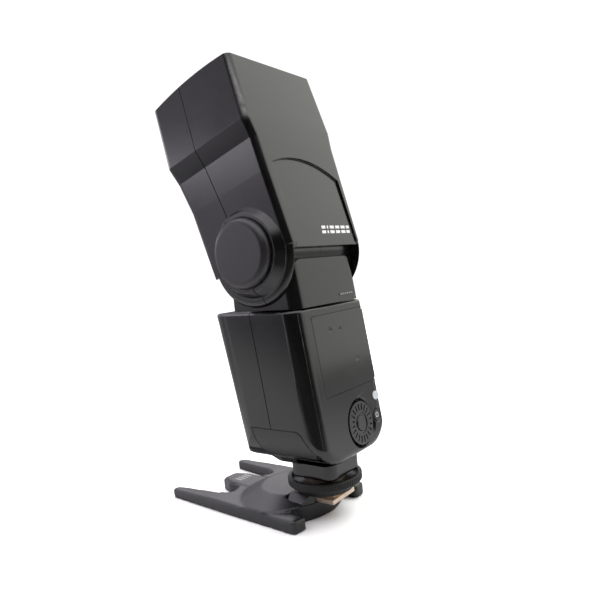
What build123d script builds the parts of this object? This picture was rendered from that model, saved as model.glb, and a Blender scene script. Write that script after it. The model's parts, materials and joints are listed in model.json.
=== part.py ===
from build123d import *
from math import cos, pi, radians, sin, tan
import os

# A shoe-mount speedlight flash standing in its small foot stand.
# Millimetres.  +Z is up, -Y is the way the light points when the head is level,
# +Y is the control-panel side.  The origin is on the stand's underside, on the
# axis of the flash's lock ring.

# ---------------------------------------------------------------- driving sizes
lean_deg = 6.75            # the housing leans forward by this much
lean_z = 10.0              # height at which the housing's plan sizes are taken
body_half = 29.4           # half the housing's width
body_rear = 24.9           # rear face, at height lean_z
body_front = -24.2         # front face, at height lean_z
front_lean_deg = 10.6      # the front face leans further, so the housing is deepest at its top
body_low = 31.3
belly_low = 28.2           # shallow belly under the housing
body_top = 102.8
rear_corner = 7.0
front_corner = 14.0
low_corner = 17.0          # big lower corners, seen from behind
low_fillet = 1.8
low_front = 8.0            # rounding under the front
wall = 2.0
seam = 0.1                 # width of the hair line between two shells
split_y = -1.5             # front and rear shells meet here, at height lean_z
panel_half = 26.0          # control panel between the corner bands

swivel_y = -8.8            # vertical swivel axis, and the tilt axis crosses it
pivot_z = 130.2
rest_tilt = 15.0           # head leans this far forward of upright (75 degree stop)

head_half = 28.9           # half width over the ears
lens_half = 31.1           # half width at the lens face
head_rear = 23.9           # across the head, from the tilt axis
head_end = 86.0            # tilt axis to the lens face's corners
lens_crown = 2.0           # the lens end's edge is domed by this much
flare_low = 46.0
flare_high = 55.0
# sections of the head along its axis: height, half width, front face, rear face
HEAD_SECTIONS = [(-4.0, 28.9, -26.6, 23.9), (30.0, 30.4, -27.2, 24.1), (46.0, 30.9, -30.0, 24.4),
                 (55.0, 32.8, -31.7, 24.4), (90.0, 30.9, -31.5, 23.7)]
ear_radius = 24.0
ear_inner = 26.7
barrel_radius = 19.2
barrel_half = 26.2
cap_radius = 16.0
cap_face = 36.6

ring_radius = 18.3
ring_low = 16.4
ring_high = 20.4
plate_low = 8.8            # shoe plate, 2 mm thick and 18.6 mm wide
plate_high = 10.8
plate_half = 9.3
plate_rear = 10.3
plate_front = -9.5
pin_y = -6.0               # lock pin

screw_x = 15.8             # housing screws

rod_side = 18.5            # zoom rods, and the screw between them
rod_row = -19.6
screw_side = 10.0

stand_yaw = -4.0           # degrees the stand is turned under the flash, in its loose shoe
seat_z = 8.6               # the stand's shoe seat
hub_y = -21.0
hub_radius = 27.6
hub_top = 11.8
pad_radius = 17.0
leg_high = 6.2
leg_front = -91.0
leg_half = 27.9            # across the outer sides of the legs
channel_half = 10.1        # the shoe's channel, loose on an 18.6 mm plate
rail_rear = 2.6

dial_x = -6.0
dial_z = 45.0
dial_radius = 10.2
dial_recess = 12.2
test_x = -22.2
test_z = 54.6
power_x = -20.9
power_z = 45.2

CONTACTS = [(0.0, 0.0), (-3.4, -2.6), (3.4, -2.6), (-3.4, 3.2), (3.4, 3.2)]
COVER_OUTLINE = [(-13.6, 49.3), (13.4, 49.3), (15.4, 47.6), (19.6, 38.2), (17.6, 36.2), (-9.6, 36.2), (-11.6, 38.0)]
MAG_Y, MAG_Z = -3.0, 76.0  # battery magazine
MAG_HALF = 16.2
DISPLAY_X, DISPLAY_Z = -3.4, 80.6
# parting line of the head's two shells, seen from the side
SEAM_LINE = [(-9.8, 98.0), (-9.8, 54.3), (-5.5, 18.7), (1.0, -30.0)]

lean = tan(radians(lean_deg))
front_lean = tan(radians(front_lean_deg))
NODES = {}


# ---------------------------------------------------------------- helpers
def lean_y(plan_y, z):
    """World y of a plan position once the housing has leaned forward."""
    return plan_y - (z - lean_z) * lean


def front_y(inset, z):
    """World y of the front face, moved in by inset."""
    return body_front + inset - (z - lean_z) * front_lean


def lean_frame(plan_y, z, x=0.0):
    """A frame whose Z runs up the leaning housing and whose Y is square to its panel."""
    return Pos(x, lean_y(plan_y, z), z) * Rot(X=lean_deg)


def panel_plane(x, z):
    """Plane on the rear face: Z outwards, Y up the panel, X to the right as seen from behind."""
    normal = (0, cos(radians(lean_deg)), sin(radians(lean_deg)))
    return Plane(origin=(x, lean_y(body_rear, z), z), x_dir=(-1, 0, 0), z_dir=normal)


def head_frame():
    """Head coordinates: X across, Y towards the rear face, Z towards the lens."""
    return Pos(0, swivel_y, pivot_z) * Rot(X=rest_tilt)


def box(x0, x1, y0, y1, z0, z1):
    return Pos((x0 + x1) / 2, (y0 + y1) / 2, (z0 + z1) / 2) * Box(x1 - x0, y1 - y0, z1 - z0)


def rod_z(x, y, z0, z1, radius):
    return Pos(x, y, (z0 + z1) / 2) * Cylinder(radius, z1 - z0)


def rod_x(x0, x1, y, z, radius):
    return Pos((x0 + x1) / 2, y, z) * Rot(Y=90) * Cylinder(radius, x1 - x0)


def rod_y(x, y0, y1, z, radius):
    return Pos(x, (y0 + y1) / 2, z) * Rot(X=90) * Cylinder(radius, y1 - y0)


def tube_z(x, y, z0, z1, outer, inner):
    return rod_z(x, y, z0, z1, outer) - rod_z(x, y, z0 - 1, z1 + 1, inner)


def outline_x(points, x0, x1):
    """Extrude a closed outline of (y, z) points along X."""
    face = make_face(Polyline(*[(x0, y, z) for y, z in points], close=True))
    return Solid.extrude(face.face(), (x1 - x0, 0, 0))


def outline_z(points, z0, z1):
    """Extrude a closed outline of (x, y) points along Z."""
    face = make_face(Polyline(*[(x, y, z0) for x, y in points], close=True))
    return Solid.extrude(face.face(), (0, 0, z1 - z0))


def save(name, shape):
    """Keep a node; a list becomes one node of separate solids."""
    if isinstance(shape, (list, tuple)):
        solids = []
        for piece in shape:
            solids += piece.solids()
        shape = Compound(children=solids)
    NODES[name] = shape


def leaning_slab(y0, y1):
    """Everything between two planes parallel to the leaning rear face."""
    low = -20.0
    high = 160.0
    points = [(lean_y(y0, low), low), (lean_y(y1, low), low), (lean_y(y1, high), high), (lean_y(y0, high), high)]
    return outline_x(points, -80, 80)


def plan_outline(inset, z):
    """Housing plan: tight rear corners, generous front corners."""
    half = body_half - inset
    rear = lean_y(body_rear - inset, z)
    front = front_y(inset, z)
    outline = Pos(0, (rear + front) / 2) * Rectangle(2 * half, rear - front)
    back = outline.vertices().filter_by_position(Axis.Y, rear - 1, rear + 1)
    outline = fillet(back, rear_corner - inset)
    fore = outline.vertices().filter_by_position(Axis.Y, front - 1, front + 1)
    outline = fillet(fore, front_corner - inset)
    return Pos(0, 0, z) * outline


def front_mask(inset, low):
    """Side outline that rounds the housing's lower front edge."""
    radius = low_front - inset
    corner = front_y(inset, low)
    start = (0, front_y(inset, low + radius), low + radius)
    middle = (0, corner + 0.25 * radius, low + 0.3 * radius)
    end = (0, corner + radius, low)
    high = 200.0
    lines = Polyline(end, (0, 60, low), (0, 60, high), (0, front_y(inset, high), high), start)
    face = make_face([ThreePointArc(start, middle, end), lines]).face()
    return Pos(-40, 0, 0) * Solid.extrude(face, (80, 0, 0))


def housing_block(inset, top):
    """The leaning housing as a solid, with rounded lower edges and corners."""
    low = body_low + inset
    block = loft([plan_outline(inset, low), plan_outline(inset, top)], ruled=True)
    rim = block.edges().filter_by_position(Axis.Z, low - 0.01, low + 0.01)
    block = fillet(rim, max(low_fillet - inset, 0.4))
    mask_high = 200.0
    mask = Pos(0, 0, low + mask_high / 2) * Rot(X=90) * RectangleRounded(
        2 * (body_half - inset), mask_high, low_corner - inset)
    return block & extrude(mask, 120, both=True) & front_mask(inset, low)


def belly():
    """Shallow raft under the housing, around the foot."""
    def raft(half, front, rear, z):
        middle = (front + rear) / 2
        return Pos(0, middle, z) * RectangleRounded(2 * half, rear - front, 7.0)
    return loft([raft(13.6, -21.5, 13.5, belly_low), raft(16.6, -25.0, 17.5, body_low + 0.6)])


# ---------------------------------------------------------------- stand
def leg(side):
    """Leg bar: thin and lower at the front tip, blunt at the rear."""
    points = [(side * 22.6, leg_front + 0.6), (side * 27.2, leg_front), (side * leg_half, -45.0)]
    points += [(side * leg_half, 2.4), (side * 19.5, 3.2), (side * 18.4, -54.0)]
    bar = outline_z(points, 0, leg_high)
    bar = fillet(bar.edges().filter_by(Axis.Z), 1.9)
    bar = fillet(bar.faces().sort_by(Axis.Z)[-1].edges(), 1.3)
    slope = outline_x([(leg_front - 5, 4.6), (-52.0, leg_high + 0.1), (-52.0, 12.0), (leg_front - 5, 12.0)], -40, 40)
    return bar - slope


def tongue():
    """Front tongue with cut corners, sloping down to its end."""
    outline = [(-8.6, -46.0), (-7.6, -64.5), (-4.6, -72.6), (4.6, -72.6), (7.6, -64.5), (8.6, -46.0)]
    bar = outline_z(outline, 0, 7.0)
    bar = chamfer(bar.faces().sort_by(Axis.Z)[-1].edges(), 1.5)
    return bar


def stand_plan():
    """Outer shape of the stand's middle: straight sides and a rear edge that flares up to the shoe."""
    flare = Pos(0, hub_y - 6.0, 0) * Cone(28.2, 31.6, 20.0, align=(Align.CENTER, Align.CENTER, Align.MIN))
    return flare & box(-leg_half, leg_half, -56.5, 10.0, 0, 20)


def stand_base():
    """Low saddle on two legs, rising in a smooth cone to the pad that carries the shoe."""
    middle = stand_plan()
    web = box(-20.0, 20.0, -58.0, -40.0, 0, leg_high)
    for side in (-1, 1):
        web -= rod_z(side * 13.1, -57.6, -1, 8, 5.2)
    cone = Pos(0, hub_y, 5.0) * Cone(hub_radius + 4.0, pad_radius, hub_top - 5.0,
                                     align=(Align.CENTER, Align.CENTER, Align.MIN))
    cone = cone & stand_plan()
    floor = middle & box(-40, 40, -60, 20, 0, leg_high)
    base = floor + web + cone + tongue() + leg(1) + leg(-1)
    base -= box(-16.3, 16.3, -12.1, 20.0, seat_z, 20.0)
    base -= rod_z(0, hub_y, -1, 6.8, 4.6)
    base -= rod_z(0, pin_y, 5.6, 20, 1.9)
    underside = Pos(0, hub_y, 0) * Cylinder(21.0, 3.0)
    underside -= Pos(0, hub_y, 0) * Cylinder(9.5, 4.0)
    base -= underside & box(-30, 30, -50, -13.5, -1, 1.5)
    return base.solids().sort_by(SortBy.VOLUME)[-1]


def stand_shoe():
    """Rails that hold the shoe plate, closed at the front and open at the rear."""
    low = seat_z
    high = 12.6
    front = -12.1
    points = [(-16.3, low), (16.3, low), (16.3, low + 0.9), (12.6, high), (-12.6, high), (-16.3, low + 0.9)]
    face = make_face(Polyline(*[(x, front, z) for x, z in points], close=True))
    block = Solid.extrude(face.face(), (0, rail_rear - front, 0))
    block -= box(-channel_half, channel_half, -10.4, 6.0, low - 1, 11.0)
    block -= box(-6.9, 6.9, -10.4, 6.0, low - 1, 14.0)
    return block & rod_z(0, hub_y - 6.0, 0, 20, 29.6)


def stand_springs():
    """Two bent leaf springs under the lips, one on each side."""
    strips = []
    for side in (-1, 1):
        a, b = side * 7.4, side * 9.0
        strips.append(box(min(a, b), max(a, b), -9.0, 2.2, 10.84, 10.98))
    return strips


def stand_bush():
    """Brass bush with the 1/4-20 thread's minor bore, blind at the top."""
    bush = rod_z(0, hub_y, 0.0, 6.8, 4.6)
    return bush - rod_z(0, hub_y, -0.5, 6.0, 2.6)


# ---------------------------------------------------------------- foot
def foot_plate():
    """Metal shoe plate with its stem; contacts and lock pin pass through it."""
    plate = box(-plate_half, plate_half, plate_front, plate_rear, plate_low, plate_high)
    plate = chamfer(plate.edges().filter_by(Axis.Z).group_by(Axis.Y)[0], 1.2)
    plate += box(-6.1, 6.1, -8.6, 8.6, plate_high, 12.95)
    plate += rod_z(0, 0, 12.95, 21.0, 10.0)
    plate -= rod_z(0, pin_y, 0, 30, 1.16)
    for x, y in CONTACTS:
        plate -= rod_z(x, y, 0, 30, 1.15)
    return plate


def foot_contacts():
    pins = []
    for x, y in CONTACTS:
        pin = rod_z(x, y, plate_low - 0.15, 21.0, 0.95)
        insulator = tube_z(x, y, plate_low + 0.1, 21.0, 1.15, 0.95)
        pins.append(pin + insulator)
    return pins


def foot_block():
    block = Pos(0, 0.9, 26.2) * Box(26.0, 25.6, 10.4)
    block = fillet(block.edges().filter_by(Axis.Z), 5.0)
    block = fillet(block.edges().group_by(Axis.Z)[0], 1.2)
    block -= rod_z(0, pin_y, 20, 28, 1.3)
    return block - housing_block(0, body_top) - belly()


def lock_ring():
    """Cup-shaped knurled wheel; its hub bears on the shoe's rails."""
    rim = rod_z(0, 0, ring_low, ring_high, ring_radius)
    rim = chamfer(rim.edges(), 0.6)
    for i in range(72):
        angle = 2 * pi * i / 72
        rim -= rod_z((ring_radius + 0.15) * cos(angle), (ring_radius + 0.15) * sin(angle),
                     ring_low - 1, ring_high + 1, 0.42)
    hub = Pos(0, 0, 13.0) * Cone(13.6, 15.6, ring_low - 13.0, align=(Align.CENTER, Align.CENTER, Align.MIN))
    ring = rim + hub
    ring -= rod_z(0, 0, 18.2, ring_high + 1, 16.4)
    return ring - rod_z(0, 0, 10, 25, 10.06)


def lock_pin():
    return rod_z(0, pin_y, 9.2, 24.0, 1.1)


# ---------------------------------------------------------------- housing
def cover_prism(grow):
    """Side opening for the terminal cover; its ends follow the lean."""
    centre_y = 1.5
    centre_z = 42.8
    points = []
    for plan_y, z in COVER_OUTLINE:
        y = plan_y + (grow if plan_y > centre_y else -grow)
        z = z + (grow if z > centre_z else -grow)
        points.append((lean_y(y, z), z))
    return outline_x(points, 15.0, 40.0)


def magazine_frame():
    return lean_frame(MAG_Y, MAG_Z)


def magazine_block(grow, x0, x1):
    side = 2 * (MAG_HALF + grow)
    block = Pos((x0 + x1) / 2, 0, 0) * Box(x1 - x0, side, side)
    return magazine_frame() * fillet(block.edges().filter_by(Axis.X), 2.0)


def panel_cut(shape_2d, x, z, depth, proud=1.0):
    """Prism through the rear face from proud outside to depth inside."""
    plane = panel_plane(x, z)
    return extrude(plane.offset(-depth) * shape_2d, depth + proud)


def housing_shells():
    outer = housing_block(0, body_top)
    outer = chamfer(outer.edges().filter_by_position(Axis.Z, body_top - 0.01, body_top + 0.01), 0.8)
    brow = front_y(0, body_top)
    nose = [(brow - 1, body_top - 3.6), (brow - 1, body_top + 1), (brow + 4.6, body_top + 1)]
    outer -= outline_x(nose, -40, 40)
    outer += belly()
    inner = housing_block(wall, body_top - wall)
    skin = outer - inner
    front = skin & leaning_slab(-80, split_y - seam / 2)
    rear = skin & leaning_slab(split_y + seam / 2, 80)
    panel_zone = box(-panel_half, panel_half, 0, 60, body_low - 5, body_top - 1.2)
    panel_zone = panel_zone & leaning_slab(body_rear - 2.6, 80)
    panel = (outer - housing_block(2.2, body_top - wall)) & panel_zone
    rear -= panel_zone
    rear -= panel_cut(Circle(dial_radius + 0.5), dial_x, dial_z, 6.0)
    front, rear = openings(front, rear)
    return front, rear, panel_openings(panel)


def openings(front, rear):
    """Swivel hole, terminal bay, magazine mouth, assist window and lock-pin hole."""
    swivel = rod_z(0, swivel_y, 90, 110, 16.05)
    bay = cover_prism(0.2)
    mouth = magazine_block(0.5, -40, -20)
    window = assist_prism(0.15)
    low = rod_z(0, pin_y, 20, 40, 1.5)
    for cut in (swivel, bay, mouth, window, low):
        front -= cut
        rear -= cut
    return front, rear


def display_outline(grow):
    return Pos(0, 0) * RectangleRounded(43.2 + 2 * grow, 36.9 + 2 * grow, 2.2 + grow)


def panel_openings(panel):
    """Display window, dial recess and button holes in the control panel."""
    panel -= panel_cut(display_outline(0.12), DISPLAY_X, DISPLAY_Z, 0.9)
    panel -= panel_cut(Rectangle(38.0, 30.0), DISPLAY_X, DISPLAY_Z, 5.0)
    panel -= panel_cut(Circle(dial_radius + 0.5), dial_x, dial_z, 5.0)
    plane = panel_plane(dial_x, dial_z)
    funnel = loft([plane.offset(-1.6) * Circle(dial_radius + 0.6), plane.offset(0.05) * Circle(dial_recess)])
    panel -= funnel
    panel -= panel_cut(Ellipse(2.95, 2.45), test_x, test_z, 5.0)
    panel -= panel_cut(Circle(2.9), power_x, power_z, 5.0)
    plane = panel_plane(power_x, power_z)
    panel -= loft([plane.offset(-0.9) * Circle(3.0), plane.offset(0.05) * Circle(3.9)])
    return panel


def swivel_bearing():
    """Flanged bush in the housing's top; the neck's tube turns in it."""
    bush = rod_z(0, swivel_y, 98.6, 103.0, 16.0)
    bush += rod_z(0, swivel_y, 98.6, 100.7, 19.0)
    return bush - rod_z(0, swivel_y, 90, 110, 12.05)


# ---------------------------------------------------------------- panel parts
def display_window():
    plane = panel_plane(DISPLAY_X, DISPLAY_Z)
    return extrude(plane.offset(-0.8) * display_outline(0.0), 0.8)


def display_module():
    plane = panel_plane(DISPLAY_X, DISPLAY_Z)
    return extrude(plane.offset(-4.8) * Rectangle(37.0, 29.0), 3.9)


def selector_dial():
    """Flat wheel with raised radial ribs and a hole for the set button."""
    plane = panel_plane(dial_x, dial_z)
    wheel = extrude(plane.offset(-3.4) * Circle(dial_radius), 3.0)
    wheel -= extrude(plane.offset(-5.0) * Circle(3.75), 8.0)
    wheel -= extrude(plane.offset(-0.8) * Circle(5.2), 3.0)
    for i in range(20):
        slot = Rot(Z=18.0 * i) * (Pos(7.6, 0) * SlotOverall(3.4, 0.9))
        wheel -= extrude(plane.offset(-0.9) * slot, 2.0)
    return wheel


def set_button():
    plane = panel_plane(dial_x, dial_z)
    button = extrude(plane.offset(-4.6) * Circle(3.5), 4.4)
    return fillet(button.edges().sort_by(Axis.Y)[-1:], 0.5)


def test_button():
    plane = panel_plane(test_x, test_z)
    return extrude(plane.offset(-4.6) * Ellipse(2.65, 2.15), 4.9)


def power_button():
    plane = panel_plane(power_x, power_z)
    button = extrude(plane.offset(-4.6) * Circle(2.7), 4.2)
    return button


def control_board():
    """Board behind the panel that carries the switches and the dial's encoder."""
    frame = lean_frame(body_rear - 6.6, 66.0)
    board = frame * Box(44.0, 1.4, 54.0)
    encoder = extrude(panel_plane(dial_x, dial_z).offset(-6.0) * Circle(3.2), 1.0)
    return board - encoder


# ---------------------------------------------------------------- side cover and sockets
def terminal_cover():
    outer = housing_block(0, body_top)
    plate = outer - housing_block(1.7, body_top - 1.7)
    return plate & cover_prism(-0.15)


def socket_block():
    """Moulded bay behind the cover, with the sync and power sockets."""
    block = box(19.0, 24.2, lean_y(-9.0, 43), lean_y(13.5, 43), 39.8, 48.0)
    block -= rod_x(20.5, 30.0, lean_y(-4.0, 43), 43.4, 2.6)
    block -= box(20.0, 30.0, lean_y(3.5, 43), lean_y(11.0, 43), 41.2, 45.6)
    return block


def socket_contacts():
    sync = rod_x(20.5, 23.6, lean_y(-4.0, 43), 43.4, 0.7)
    sync += rod_x(20.5, 24.6, lean_y(-4.0, 43), 43.4, 1.9) - rod_x(19.0, 26.0, lean_y(-4.0, 43), 43.4, 1.5)
    blades = [sync]
    for y in (5.2, 7.2, 9.2):
        mid = lean_y(y, 43)
        blades.append(box(20.0, 23.4, mid - 0.3, mid + 0.3, 42.2, 44.6))
    return blades


# ---------------------------------------------------------------- power parts inside
def battery_magazine():
    """Pull-out tray whose outer end closes the housing's side."""
    tray = magazine_block(-0.3, -27.0, 24.6)
    cap = magazine_block(0.2, -40, -26.4) & housing_block(0, body_top)
    frame = magazine_frame()
    holes = []
    for y in (-7.6, 7.6):
        for z in (-7.6, 7.6):
            holes.append(frame * rod_x(-25.9, 25.4, y, z, 7.3))
    for hole in holes:
        tray -= hole
    grip = frame * box(-32.0, -28.4, -6.0, 6.0, -11.0, -9.0)
    return tray + (cap - grip)


def battery_cells():
    frame = magazine_frame()
    cells = []
    for y in (-7.6, 7.6):
        for z in (-7.6, 7.6):
            nub = 1 if y * z > 0 else -1
            cell = rod_x(-25.2, 23.6, y, z, 7.1) if nub > 0 else rod_x(-24.4, 24.4, y, z, 7.1)
            end = rod_x(23.6, 24.4, y, z, 2.7) if nub > 0 else rod_x(-25.2, -24.4, y, z, 2.7)
            cells.append(frame * (cell + end))
    return cells


def battery_contacts():
    """Spring plates on the wall that the magazine meets when it is pushed home."""
    frame = magazine_frame()
    plates = []
    for y in (-7.6, 7.6):
        plates.append(frame * box(25.0, 25.5, y - 4.0, y + 4.0, -12.0, 12.0))
    return plates


def magazine_guide():
    """Frame that the magazine slides in."""
    guide = magazine_block(1.4, -22.0, 27.0) & housing_block(wall + 0.1, body_top - wall)
    return guide - magazine_block(0.1, -30.0, 25.6)


def main_capacitor():
    """Can lying across the housing under the magazine."""
    can = rod_x(-22.0, 16.0, lean_y(-4.5, 48), 48.0, 8.6)
    return fillet(can.edges().filter_by(GeomType.CIRCLE), 0.8)


def main_board():
    frame = lean_frame(16.0, 69.0)
    return frame * Box(46.0, 1.4, 50.0)


def transformer():
    """Charging transformer: a ferrite core around a wound bobbin, on the main board."""
    frame = lean_frame(10.9, 51.0)
    core = frame * Box(14.0, 8.4, 12.0)
    return core - frame * Box(9.0, 9.0, 7.6)


def transformer_winding():
    frame = lean_frame(10.9, 51.0)
    return frame * Box(8.6, 7.8, 7.2)


def assist_prism(grow):
    """Opening of the focus-assist window in the lower front."""
    frame = Pos(0, front_y(0, 49.0), 49.0) * Rot(X=front_lean_deg)
    outline = RectangleRounded(34.0 + 2 * grow, 17.0 + 2 * grow, 3.0 + grow)
    face = Rot(X=90) * outline
    return frame * extrude(face, 8.0, both=True)


def assist_window():
    skin = housing_block(0, body_top) - housing_block(1.6, body_top - 1.6)
    return skin & assist_prism(0) & leaning_slab(-80, -15)


def assist_lamps():
    """Two focus-assist emitters behind the red window."""
    frame = Pos(0, front_y(6.5, 49.0), 49.0) * Rot(X=front_lean_deg)
    lamps = []
    for x in (-8.5, 8.5):
        lamp = Pos(0, 0, 0) * rod_y(x, -2.6, 2.6, 0, 2.5)
        lamps.append(frame * lamp)
    return lamps


def body_screws():
    """Four screws up through the housing's floor, beside the foot block."""
    screws = []
    for x in (-screw_x, screw_x):
        for plan_y in (-13.0, 14.0):
            y = lean_y(plan_y, 34.0)
            head = rod_z(x, y, 32.4, 33.9, 2.0)
            screws.append(head + rod_z(x, y, 33.9, 38.3, 1.0))
    return screws


def screw_boss(shape, plan_y):
    """Two bosses on a shell's floor, with their screw holes."""
    for x in (-screw_x, screw_x):
        y = lean_y(plan_y, 34.0)
        shape += rod_z(x, y, 32.9, 39.5, 3.0)
        shape -= rod_z(x, y, 25.0, 33.9, 2.05)
        shape -= rod_z(x, y, 33.0, 42.0, 1.0)
    return shape


# ---------------------------------------------------------------- neck
def neck_base():
    """Turntable with the tube that runs down through the bearing."""
    base = rod_z(0, swivel_y, 103.5, 106.3, 21.6)
    base = chamfer(base.edges().filter_by(GeomType.CIRCLE).group_by(Axis.Z)[-1], 0.6)
    base += rod_z(0, swivel_y, 96.0, 103.6, 12.0)
    return base - rod_z(0, swivel_y, 90, 110, 9.6)


def swivel_clip():
    """Ring that keeps the tube from lifting out of the bearing."""
    return tube_z(0, swivel_y, 96.2, 98.0, 16.5, 12.0)


def barrel_solid(radius, half):
    return Pos(0, swivel_y, pivot_z) * rod_x(-half, half, 0, 0, radius)


def neck_block(inset):
    """Pedestal under the barrel; its rear face is in line with the housing's."""
    low = 103.5
    high = 125.4
    rear = body_rear - inset
    points = [(swivel_y - 15.4 + inset, low), (lean_y(rear, low), low), (lean_y(rear, high), high)]
    points += [(0.0, high), (0.0, 113.0), (swivel_y - 15.4 + inset, 113.0)]
    block = outline_x(points, -barrel_half + inset, barrel_half - inset)
    return block


def neck_cover():
    """Rear and side cover with rounded shoulders."""
    block = neck_block(0)
    rear_edges = block.edges().filter_by(lambda e: abs(e.center().X) > 20 and e.center().Y > 8
                                         and e.length > 15)
    block = fillet(rear_edges, 5.5)
    shoulder = Pos(0, 0, 75.4) * Rot(X=90) * RectangleRounded(2 * barrel_half, 100.0, 9.0)
    block = block & extrude(shoulder, 120, both=True)
    block -= barrel_solid(barrel_radius + 0.05, 40)
    hollow = neck_block(2.0)
    block -= hollow
    block -= box(-22.0, 22.0, -60, swivel_y, 100, 130)
    block -= rod_z(0, swivel_y, 103.0, 106.4, 21.7)
    return block.solids().sort_by(SortBy.VOLUME)[-1]


def neck_core():
    """Inner post between the turntable and the barrel."""
    post = box(-20.0, 20.0, swivel_y - 13.0, swivel_y + 13.0, 106.3, 118.0)
    post = fillet(post.edges().filter_by(Axis.Z), 4.0)
    post -= barrel_solid(barrel_radius, 40)
    return post - rod_z(0, swivel_y, 100, 130, 9.6)


def barrel_half_shell(side):
    """One half of the tilt barrel, from the centre seam to its end wall."""
    shell = barrel_solid(barrel_radius, barrel_half) - barrel_solid(barrel_radius - 1.8, barrel_half - 2.2)
    shell -= barrel_solid(4.06, 40)
    shell -= rod_z(0, swivel_y, 108, 118, 9.6)
    keep = box(min(side * 0.05, side * 40), max(side * 0.05, side * 40), -60, 60, 90, 170)
    return shell & keep


def detent_plate():
    """Notched steel disc on the barrel's inner wall: stops at 0, 45, 60, 75 and 90 degrees."""
    disc = Pos(0, swivel_y, pivot_z) * (rod_x(22.4, 23.9, 0, 0, 13.0) - rod_x(20.0, 25.0, 0, 0, 4.4))
    for angle in (0, 45, 60, 75, 90):
        tilt = radians(angle)
        y = swivel_y - 13.2 * cos(tilt)
        z = pivot_z + 13.2 * sin(tilt)
        disc -= rod_x(20.0, 25.0, y, z, 1.3)
    return disc


# ---------------------------------------------------------------- head
def head_outline(half, front, rear, w, radius):
    outline = Pos(0, (front + rear) / 2) * RectangleRounded(2 * half, rear - front, radius)
    return Pos(0, 0, w) * outline


def head_loft(inset, first, last, radius):
    """The head's walls between two of its sections, moved in by inset."""
    skins = []
    for low, high in zip(HEAD_SECTIONS[first:last], HEAD_SECTIONS[first + 1:last + 1]):
        ends = []
        for w, half, front, rear in (low, high):
            ends.append(head_outline(half - inset, front + inset, rear - inset, w, radius))
        skins.append(loft(ends))
    solid = skins[0]
    for skin in skins[1:]:
        solid += skin
    return solid


def lens_dome():
    """Everything below the lens end's domed edge."""
    across = (HEAD_SECTIONS[-1][2] + head_rear) / 2
    reach = 27.7
    radius = reach * reach / (2 * lens_crown) + lens_crown / 2
    return rod_x(-60, 60, across, head_end + lens_crown - radius, radius)


def head_outer():
    """Flared lens end, tapered grip and the two ears, as one solid."""
    walls = head_loft(0.0, 0, len(HEAD_SECTIONS) - 1, 3.0) & lens_dome()
    disc = rod_x(-head_half, head_half, -0.4, -1.0, ear_radius + 0.2)
    disc = fillet(disc.edges().filter_by(GeomType.CIRCLE), 2.8)
    boss = [Pos(side * (head_half - 0.5), 0, 0) * Rot(Y=side * 90)
            * Cone(21.4, 18.0, 4.4, align=(Align.CENTER, Align.CENTER, Align.MIN)) for side in (-1, 1)]
    solid = walls + disc + boss[0] + boss[1]
    return solid


def head_cavity():
    """Space inside the shells, with the pocket that clears the barrel."""
    upper = head_loft(2.2, 2, len(HEAD_SECTIONS) - 1, 1.5)
    upper += loft([head_outline(ear_inner, -24.0, head_rear - 2.2, 22.4, 1.5),
                   head_outline(HEAD_SECTIONS[2][1] - 2.2, HEAD_SECTIONS[2][2] + 2.2, head_rear - 1.7, flare_low, 1.5)])
    lower = box(-ear_inner, ear_inner, -40, head_rear - 2.2, -30, 22.5)
    lower += box(-ear_inner, ear_inner, -40, 40, -30, -5.8)
    cavity = upper + lower
    pocket = rod_x(-ear_inner, ear_inner, 0, 0, 21.4) - rod_x(-40, 40, 0, 0, barrel_radius + 0.5)
    return cavity - (pocket & box(-40, 40, -40, 40, 13, 30))


def arch_recess():
    """Shallow tongue-shaped recess on the rear face with an arched top."""
    face_y = head_rear
    left, right, top, low = 24.0, -25.4, 37.0, -12.0
    arc = ThreePointArc((right, face_y, top - 9.0), ((left + right) / 2, face_y, top), (left, face_y, top - 3.0))
    lines = Polyline((left, face_y, top - 3.0), (left, face_y, low), (right, face_y, low),
                     (right, face_y, top - 9.0))
    outline = make_face([arc, lines])
    return Solid.extrude(outline.face(), (0, -0.8, 0)) + Solid.extrude(outline.face(), (0, 1.0, 0))


def head_shells():
    shell = head_outer() - head_cavity() - arch_recess()
    shell -= rod_x(-31.0, 31.0, 0, 0, 4.0)
    for side in (-1, 1):
        cut = rod_x(min(side * 31.0, side * 40), max(side * 31.0, side * 40), 0, 0, cap_radius + 0.35)
        shell -= cut
    front_side = outline_x([(-60.0, 98.0)] + SEAM_LINE + [(-60.0, -30.0)], -60, 60)
    rear_side = outline_x([(60.0, 98.0)] + [(y + seam, z) for y, z in SEAM_LINE] + [(60.0, -30.0)], -60, 60)
    return shell & rear_side, shell & front_side


def tilt_cap(side):
    """Domed trim cap over the end of the tilt axle."""
    cap = rod_x(31.1, cap_face, 0, 0, cap_radius)
    rim = cap.edges().filter_by(GeomType.CIRCLE).sort_by(Axis.X)[-1]
    cap = fillet(rim, 3.0)
    return cap if side > 0 else mirror(cap, Plane.YZ)


def tilt_axles():
    """Two stub axles fixed in the ears and turning in the barrel's end walls."""
    return [rod_x(20.0, 31.0, 0, 0, 4.0), rod_x(-31.0, -20.0, 0, 0, 4.0)]


def fresnel_lens():
    """Clear front lens with stepped ribs on its inner face."""
    pane = box(-28.4, 28.4, -26.7, 16.6, 83.4, 85.2)
    pane = fillet(pane.edges().filter_by(Axis.Z), 1.5)
    for i in range(14):
        y = -24.6 + 3.0 * i
        pane -= outline_x([(y - 0.9, 83.3), (y + 0.9, 83.3), (y + 0.9, 83.9)], -27, 27)
    return pane


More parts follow.
